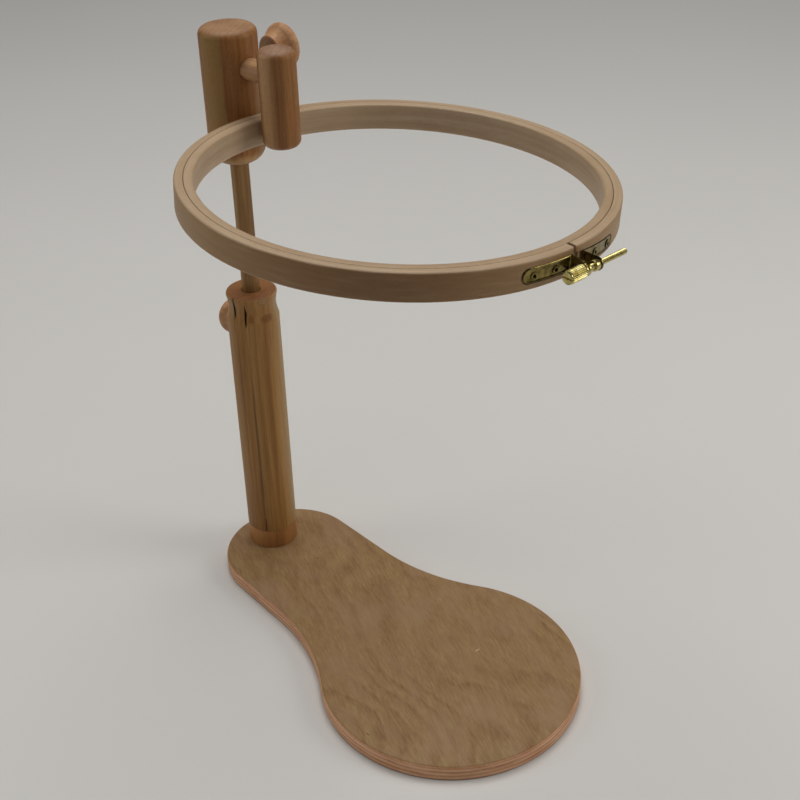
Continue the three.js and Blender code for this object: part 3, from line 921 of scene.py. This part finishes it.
def plywood(name, tones, blush, plies, marks):
    """Veneered plywood: face veneers above and below, the ply edges round the sides."""
    skin, blend, rough = 0.7, 0.15, 0.52
    t = Nodes(name)
    g = t.grain()
    face_colour, fine = veneer(t, g, tones, blush, marks)
    height = t.add("ShaderNodeSeparateXYZ", {0: g}).outputs[1]
    face = t.step(height, BOARD_THICK - skin - blend, BOARD_THICK - skin + blend)
    foot = t.step(height, skin - blend, skin + blend, 1.0, 0.0)
    edge_colour = ply_edges(t, g, height, plies)
    t.feed(t.shader.inputs["Base Color"], t.mix(t.math("MAXIMUM", face, foot), edge_colour, face_colour))
    t.feed(t.shader.inputs["Roughness"], t.step(fine, 0.25, 0.75, rough + 0.07, rough - 0.07))
    t.feed(t.shader.inputs["Specular IOR Level"], 0.3)
    t.bump(fine, 0.0001)
    return t.material


def metal(name, light, dark, rough, seed):
    """Polished metal with faint handling marks and dull patches."""
    t = Nodes(name)
    g = t.vector("ADD", t.grain(), (seed * 13.0, 0, 0))
    cloud = t.noise(t.stretch(g, (0.25, 0.25, 0.25)), 1.0, 4, 0.6)
    scratch = t.noise(t.stretch(g, (4.0, 0.6, 4.0)), 1.0, 3, 0.7)
    t.feed(t.shader.inputs["Base Color"], t.ramp(cloud, [(0.35, dark), (0.65, light)]))
    t.feed(t.shader.inputs["Metallic"], 1.0)
    t.feed(t.shader.inputs["Roughness"], t.step(scratch, 0.3, 0.8, rough - 0.06, rough + 0.14))
    t.bump(scratch, 0.00002)
    return t.material


# ---- pieces

SHARP_ANGLE = math.radians(35)

def add_piece(node, shape, place, material, grain=None):
    """Adds a finished piece for a CAD node; grain gives its fibre position from local mm."""
    verts, faces = shape
    obj = raw_object(([tuple(place @ Vector(v)) for v in verts], faces), f"{node}_look")
    mesh = obj.data
    field = mesh.attributes.new("grain", "FLOAT_VECTOR", "POINT")
    for item, v in zip(field.data, verts):
        item.vector = grain(v) if grain else v
    mesh.shade_smooth()
    mesh.set_sharp_from_angle(angle=SHARP_ANGLE)
    mesh.materials.append(material)
    body = next(name for name, nodes in frame["record"]["behaviour"]["bodies"].items() if node in nodes)
    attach(obj, body)
    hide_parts(node)


def board_grain(v):
    """Across the fibres, height and along the fibres of the face veneer."""
    return v[1], v[2], v[0]


def ring_grain(v):
    """Radius, height and distance round the hoop, measured from the split."""
    angle = math.atan2(v[1], v[0]) % TURN
    return math.hypot(v[0], v[1]), v[2], angle * OUTER_RING_OUT


def board_material():
    """Birch plywood with its small knots, scratches and dark flecks, at (y, z, x)."""
    marks = [
        ("#4a3220", 0.9, (6.3, 12, 47.9), (0.7, 4, 1.0)),
        ("#6b4a35", 0.7, (84.5, 12, 210), (0.5, 4, 5)),
        ("#6b4a35", 0.7, (79.5, 12, 217.5), (0.5, 4, 4)),
        ("#cbb694", 0.8, (26, 12, 204.5), (2.6, 4, 0.6)),
        ("#5a3d28", 0.8, (-81.6, 12, 213), (0.5, 4, 2.2)),
        ("#5a3d28", 0.7, (18.5, 12, 292.8), (3.6, 4, 0.5)),
        ("#8d6a4c", 0.4, (20, 12, 185), (5, 6, 7)),
        ("#8d6a4c", 0.35, (18, 12, 114), (6, 6, 10)),
        ("#8d6a4c", 0.35, (-70, 12, 222), (7, 6, 12)),
    ]
    return plywood("birch_plywood", ["#845f3d", "#8f6e48", "#98794f", "#a0845c"], "#a07f62", 7, marks)


def post_material(dark_vein):
    """Beech with the veins, the crack at the foot, the cracks darkened round their edges and the plug at
    the neck.
    """
    tones = ["#885e2e", "#9f713b", "#b1854c", "#c0965e"]
    foot_crack = ("#2e2018", 0.9, -49.3, (18, 0, 32), (6, 0.5, 11), 0.4)
    return wood("post_beech", tones, 1, spread=0.16, pores=0.2, zones=[
        ("#b79b70", 0.6, 45, (18, 0, 120), (16, 11, 500), 0.5),
        ("#8a653c", 0.4, -95, (18, 0, 120), (14, 7, 500), 0.6),
        ("#8a5c30", 0.5, -13, (18, 0, 115), (10, 3.6, 75), 0.7),
        ("#6b5238", 0.45, -76, (18, 0, 155), (8, 1.2, 70), 0.6),
        dark_vein,
        foot_crack,
        ("#3d2a1c", 0.75, -52.5, (18, 0, 215.5), (8, 1.15, 10.5), 0.5),
        ("#33231a", 0.85, -82, (18, 0, 220), (8, 1.7, 10.5), 0.5),
        ("#774920", 0.65, -2, (18, 0, 213), (8, 6.5, 4.2), 0.6),
        ("#774920", 0.5, -40, (18, 0, 214), (8, 2.5, 4.5), 0.6),
        ("#4f443b", 0.75, -82, (18, 0, 228), (9, 1.6, 6), 0.6),
        ("#4b3626", 0.6, -82, (18, 0, 207), (8, 0.5, 9), 0.5),
        ("#76522f", 0.5, -10, (18, 0, 226.6), (4, 4.6, 3.1), 0.25),
        ("#ab8a5e", 0.8, -10, (18, 0, 226.6), (4, 4.1, 2.6), 0.3),
    ], end=(0, 0, 1), end_tones=("#8c5a37", "#a2703f"))


def add_stand():
    add_piece("base_board", board_shape(), STAND, board_material(), board_grain)
    dark_vein = ("#5c432c", 0.6, -50.5, (18, 0, 105), (8, 1.3, 100), 0.7)
    collar = wood("collar_beech", ["#a16d3c", "#b47d49", "#c08b54"], 3, pores=0.2, zones=[dark_vein])
    add_piece("foot_collar", collar_shape(), STAND, collar)
    add_piece("post_tube", post_shape(), STAND, post_material(dark_vein))
    rod = wood("rod_beech", ["#835f34", "#9a7445", "#ad8a58"], 5, pores=0.15)
    add_piece("mast_rod", rod_shape(ROD_RADIUS, ROD_LOW, ROD_HIGH, 0.8), STAND, rod)
    steel = metal("screw_steel", "#9b9c9e", "#77787a", 0.32, 1)
    for i, azimuth in enumerate(FOOT_SCREW_AZIMUTHS):
        add_piece(f"foot_screw_{i + 1}", foot_screw_shape(azimuth), STAND, steel)


def add_clamps():
    steel = metal("stud_steel", "#8f9092", "#6d6e70", 0.3, 2)
    brass = metal("insert_brass", "#c2a04f", "#94773a", 0.34, 3)
    clamps = [
        ("post", POST_CLAMP, POST_TIP, POST_INSERT_FROM, POST_KNOB_AT, 11),
        ("head", HEAD_CLAMP, HEAD_TIP, HEAD_INSERT_FROM, HEAD_KNOB_AT, 14),
    ]
    for name, place, tip, insert_from, knob_at, seed in clamps:
        add_piece(f"{name}_insert", insert_shape(insert_from), place, brass)
        add_piece(f"{name}_stud", stud_shape(tip, knob_at + STUD_IN_KNOB), place, steel)
        out = place.to_3x3() @ Vector((0, 0, 1))
        knob = wood(
            f"{name}_knob_beech", ["#a8774d", "#bf8e63", "#d2a378"], seed, pores=0.25,
            end=tuple(out.normalized()), end_tones=("#8f6544", "#b48f6a"), rough=0.45,
        )
        shape = moved(knob_shape(), Matrix.Translation((0, 0, knob_at)))
        add_piece(f"{name}_knob", shape, place, knob)


def block_material():
    """Beech with a yellow sapwood band and a small knot on its bowl."""
    tones = ["#784723", "#8f5b2e", "#a26f3c", "#b4834c"]
    return wood("block_beech", tones, 7, spread=0.17, pores=0.3, zones=[
        ("#987741", 0.8, -80, (18, 0, 370), (14, 8.8, 900), 0.2),
        ("#a08458", 0.55, 20, (18, 0, 355), (10, 7, 45), 0.7),
        ("#c8a06a", 0.7, -20, (14, 0, 328), (16, 18, 9), 0.7),
        ("#3a2618", 0.9, -15.7, (14, 0, 328.6), (6, 0.8, 0.7), 0.4),
    ], end=(0, 0, 1), end_tones=("#94684a", "#b58f68"))


def jaw_material():
    """Beech with a pale band on one side, partly pale wood and partly painted light on that side, a
    red-brown flame and a dark vein.
    """
    tones = ["#744522", "#8c5c33", "#a06f3c", "#ad7e4a"]
    return wood("jaw_beech", tones, 8, spread=0.16, pores=0.3, zones=[
        # partly painted light: the pale band is pale wood and also lightens the jaw's lit side
        ("#c49d71", 0.6, -84, (12, 0, 370), (9, 7.5, 900), 0.7),
        ("#a5642f", 0.55, -8, (12, 0, 368), (6, 3.2, 18), 0.7),
        ("#6b4a2e", 0.5, -33, (12, 0, 385), (5, 0.6, 40), 0.6),
    ], end=(0, 0, 1), end_tones=("#865f46", "#a98469"))


def add_head():
    add_piece("head_block", block_shape(), HEAD, block_material())
    dowel = wood("dowel_beech", ["#9f744d", "#b38960", "#c69d73"], 9, pores=0.25)
    dowel_shape = rod_shape(DOWEL_RADIUS, DOWEL_FROM, DOWEL_TO, 0.8)
    add_piece("pivot_dowel", dowel_shape, ARM, dowel)
    jaw_place = HEAD @ Matrix.Translation((JAW_REACH, 0, 0))
    add_piece("hoop_jaw", jaw_shape(), jaw_place, jaw_material())


def ring_material(name, seed, zones=()):
    tones = ["#ac9070", "#ba9f80", "#c6ae90"]
    return wood(name, tones, seed, spread=0.16, pores=0.12, bands=0.2, zones=zones, rough=0.45)


def add_hoop():
    outer = ring_material("outer_ring_beech_with_painted_shade", 20, [
        # painted shade: the whole outer wall is toned darker and browner than the top faces
        ("#a37e4f", 0.8, 0, (131.5, -8, 0), (2.2, 60, 4000), 0.3),
        # painted shade: a darker brown stretch on the outer wall where it faces the front, away from the
        # lamps
        ("#684228", 0.6, 0, (131.5, -8, 700), (4, 60, 140), 0.9),
        ("#8a6242", 0.8, 0, (127, -8, 0), (30, 30, 1.5), 0.3),
    ])
    inner = ring_material("inner_ring_beech", 21)
    add_piece("outer_ring", outer_ring_shape(), HOOP, outer, ring_grain)
    add_piece("inner_ring", inner_ring_shape(), HOOP, inner, ring_grain)
    # painted reflection: the straps and rivets get a darkened copy of the brass, standing in for the dark
    # surroundings their flat faces reflect
    brass = metal("strap_brass_painted_dark_reflection", "#8f7f4a", "#574a24", 0.2, 5)
    bright_brass = metal("screw_brass", "#d6c98c", "#ab9e5f", 0.24, 6)
    add_piece("strap_left", pierced_strap(LEFT), HOOP, brass)
    add_piece("strap_right", pierced_strap(RIGHT), HOOP, brass)
    for i, (side, along) in enumerate(RIVETS):
        add_piece(f"rivet_{i + 1}", rivet_shape(side, along), HOOP, brass)
    add_piece("tension_screw", screw_shape(), HOOP, bright_brass)
    add_piece("lug_nut", nut_shape(), HOOP, bright_brass)


# ---- camera, light and floor


LENS = 59.13
CAMERA_PLACE = (0.694, -0.4561, 0.6547)
CAMERA_TURN, CAMERA_TILT, CAMERA_ROLL = math.radians(49.59), math.radians(57.69), math.radians(-1.52)
LIGHT_TARGET, LIGHT_COLOUR = (0.1, 0, 0.2), (1.0, 0.985, 0.95)
AREA_LIGHTS = [
    ("overhead", (-0.25, 0.4, 1.75), 1.0, 9.0),
    ("right", (1.25, 1.15, 0.95), 0.9, 7.9),
    ("left", (-0.9, -1.25, 0.95), 0.9, 4.5),
]
CEILING_STRENGTH, CEILING_SPREAD = 0.8, math.radians(60)
SURROUND_COLOUR, SURROUND_STRENGTH = (0.95, 0.94, 0.92, 1), 0.08
FLOOR_HALF = 40


def add_camera():
    camera = bpy.data.cameras.new("camera")
    camera.lens = LENS
    camera.sensor_width = 36
    obj = bpy.data.objects.new("camera", camera)
    aim = Matrix.Rotation(CAMERA_TURN, 4, "Z") @ Matrix.Rotation(CAMERA_TILT, 4, "X")
    obj.matrix_world = Matrix.Translation(CAMERA_PLACE) @ aim @ Matrix.Rotation(CAMERA_ROLL, 4, "Z")
    bpy.context.scene.collection.objects.link(obj)
    bpy.context.scene.camera = obj


def add_area_light(name, place, size, power):
    light = bpy.data.lights.new(name, "AREA")
    light.shape = "DISK"
    light.size = size
    light.energy = power
    light.color = LIGHT_COLOUR
    obj = bpy.data.objects.new(name, light)
    obj.location = place
    obj.rotation_euler = (Vector(LIGHT_TARGET) - Vector(place)).to_track_quat("-Z", "Y").to_euler()
    bpy.context.scene.collection.objects.link(obj)


def add_lights():
    """One big soft light overhead, one on each side, a wide soft sun straight down, a dim surround."""
    for name, place, size, power in AREA_LIGHTS:
        add_area_light(name, place, size, power)
    ceiling = bpy.data.lights.new("ceiling", "SUN")
    ceiling.energy = CEILING_STRENGTH
    ceiling.angle = CEILING_SPREAD
    ceiling_object = bpy.data.objects.new("ceiling", ceiling)
    bpy.context.scene.collection.objects.link(ceiling_object)
    world = bpy.data.worlds.new("studio")
    bpy.context.scene.world = world
    world.use_nodes = True
    background = world.node_tree.nodes["Background"]
    background.inputs["Color"].default_value = SURROUND_COLOUR
    background.inputs["Strength"].default_value = SURROUND_STRENGTH


def add_floor():
    mesh = bpy.data.meshes.new("floor")
    corners = [(x * FLOOR_HALF, y * FLOOR_HALF, 0) for x, y in ((-1, -1), (1, -1), (1, 1), (-1, 1))]
    mesh.from_pydata(corners, [], [(0, 1, 2, 3)])
    floor = bpy.data.objects.new("floor", mesh)
    bpy.context.scene.collection.objects.link(floor)
    t = Nodes("floor_paper")
    position = t.add("ShaderNodeTexCoord", {}).outputs["Object"]
    paper = t.ramp(t.noise(position, 1.5, 3), [(0.3, "#dad8d4"), (0.7, "#dedcd9")])
    t.feed(t.shader.inputs["Base Color"], paper)
    t.feed(t.shader.inputs["Roughness"], 0.8)
    mesh.materials.append(t.material)


add_stand()
add_clamps()
add_head()
add_hoop()
add_camera()
add_lights()
add_floor()
bpy.context.scene.view_settings.view_transform = "Standard"
